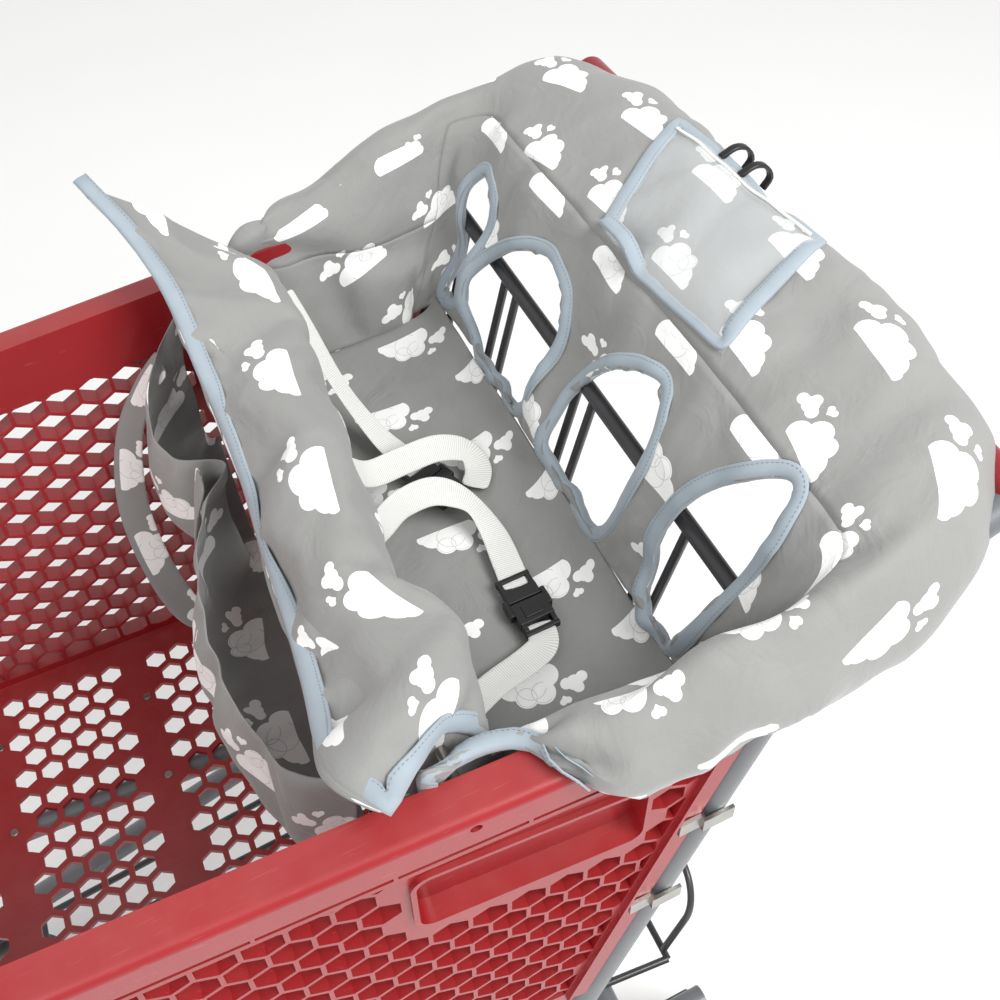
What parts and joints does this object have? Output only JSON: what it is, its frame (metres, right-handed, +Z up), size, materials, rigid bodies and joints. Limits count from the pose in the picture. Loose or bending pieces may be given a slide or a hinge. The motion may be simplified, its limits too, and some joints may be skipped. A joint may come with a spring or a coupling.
{
  "type": "shopping cart",
  "caption": "Shopping cart with a honeycomb plastic basket, swing-up wire gate and child seat, swivel casters, and a padded seat cover over the handle",
  "frame": {"origin": "on the ground under the middle of the cart's overall box", "axes": "+X towards the cart's front, +Y to its left, +Z up"},
  "size_m": [1.05, 0.667, 1.0832],
  "materials": {
    "basket_plastic": "semi-gloss moulded polypropylene",
    "bumper_rubber": "matte rubber",
    "tube_steel": "grey powder coat",
    "plated_steel": "bright zinc plate",
    "wire_steel": "dark powder coat",
    "grip_plastic": "smooth moulded plastic",
    "hub_plastic": "matte moulded nylon",
    "tyre_rubber": "grey-black polyurethane",
    "cover_fabric": "printed woven polyester over padding",
    "window_vinyl": "clear flexible vinyl",
    "webbing": "woven white webbing",
    "buckle_plastic": "black acetal"
  },
  "bodies": {
    "cart": {"side_panel_left": "basket_plastic", "side_panel_right": "basket_plastic", "front_panel": "basket_plastic", "floor_panel": "basket_plastic", "front_bumper": "bumper_rubber", "rear_upright_left": "tube_steel", "rear_upright_right": "tube_steel", "base_rail_left": "tube_steel", "base_rail_right": "tube_steel", "base_cross_front": "tube_steel", "base_cross_rear": "tube_steel", "basket_cross": "tube_steel", "floor_beam_left": "tube_steel", "floor_beam_right": "tube_steel", "rear_fork_left": "tube_steel", "rear_fork_right": "tube_steel", "caster_socket_left": "tube_steel", "caster_socket_right": "tube_steel", "upright_clips": "plated_steel", "floor_rivets": "plated_steel", "rear_axle_left": "plated_steel", "rear_axle_right": "plated_steel", "seat_rod": "plated_steel", "gate_rod": "plated_steel", "bottom_rack": "wire_steel", "rack_hoop": "wire_steel", "handle_grip": "grip_plastic", "handle_bracket_left": "grip_plastic", "handle_bracket_right": "grip_plastic", "cover_bolster": "cover_fabric", "cover_wing_left": "cover_fabric", "cover_wing_right": "cover_fabric", "cover_side_left": "cover_fabric", "cover_side_right": "cover_fabric", "window_pocket": "window_vinyl"},
    "gate": {"gate_sleeve": "wire_steel", "gate_rods": "wire_steel", "gate_cross_rods": "wire_steel", "seat_pivot_rod": "wire_steel", "cover_leg_panel": "cover_fabric"},
    "seat_back": {"seat_back_frame": "wire_steel", "cover_back_pad": "cover_fabric", "cover_pouch": "cover_fabric"},
    "seat": {"seat_flap": "basket_plastic", "cover_seat_pad": "cover_fabric", "seat_belts": "webbing", "belt_buckle": "buckle_plastic"},
    "caster_left": {"caster_fork_left": "plated_steel", "front_axle_left": "plated_steel"},
    "caster_right": {"caster_fork_right": "plated_steel", "front_axle_right": "plated_steel"},
    "front_wheel_left": {"front_hub_left": "hub_plastic", "front_tyre_left": "tyre_rubber"},
    "front_wheel_right": {"front_hub_right": "hub_plastic", "front_tyre_right": "tyre_rubber"},
    "rear_wheel_left": {"rear_hub_left": "hub_plastic", "rear_tyre_left": "tyre_rubber"},
    "rear_wheel_right": {"rear_hub_right": "hub_plastic", "rear_tyre_right": "tyre_rubber"}
  },
  "joints": [
    {"name": "gate_swing", "type": "hinge", "parent": "cart", "child": "gate", "pos_m": [-0.32241, 0, 0.942], "axis": [0, -1, 0], "range_deg": [0, 38], "deforming": ["cover_leg_panel", "cover_side_left", "cover_side_right"]},
    {"name": "seat_back_swing", "type": "hinge", "parent": "cart", "child": "seat_back", "pos_m": [-0.087, 0, 0.942], "axis": [0, -1, 0], "range_deg": [0, 38], "deforming": ["cover_back_pad"]},
    {"name": "seat_level", "type": "hinge", "parent": "gate", "child": "seat", "pos_m": [-0.27586, 0, 0.79394], "axis": [0, -1, 0], "range_deg": [-38, 0]},
    {"name": "caster_swivel_left", "type": "hinge", "parent": "cart", "child": "caster_left", "pos_m": [0.4, 0.165, 0.15], "axis": [0, 0, 1], "continuous": true},
    {"name": "caster_swivel_right", "type": "hinge", "parent": "cart", "child": "caster_right", "pos_m": [0.4, -0.165, 0.15], "axis": [0, 0, 1], "continuous": true},
    {"name": "front_wheel_spin_left", "type": "hinge", "parent": "caster_left", "child": "front_wheel_left", "pos_m": [0.368, 0.165, 0.0625], "axis": [0, 1, 0], "continuous": true},
    {"name": "front_wheel_spin_right", "type": "hinge", "parent": "caster_right", "child": "front_wheel_right", "pos_m": [0.368, -0.165, 0.0625], "axis": [0, 1, 0], "continuous": true},
    {"name": "rear_wheel_spin_left", "type": "hinge", "parent": "cart", "child": "rear_wheel_left", "pos_m": [-0.33, 0.262, 0.0625], "axis": [0, 1, 0], "continuous": true},
    {"name": "rear_wheel_spin_right", "type": "hinge", "parent": "cart", "child": "rear_wheel_right", "pos_m": [-0.33, -0.262, 0.0625], "axis": [0, 1, 0], "continuous": true}
  ],
  "couplings": [
    {"joint": "seat_back_swing", "follows": "gate_swing", "ratio": 1},
    {"joint": "seat_level", "follows": "gate_swing", "ratio": -1}
  ]
}
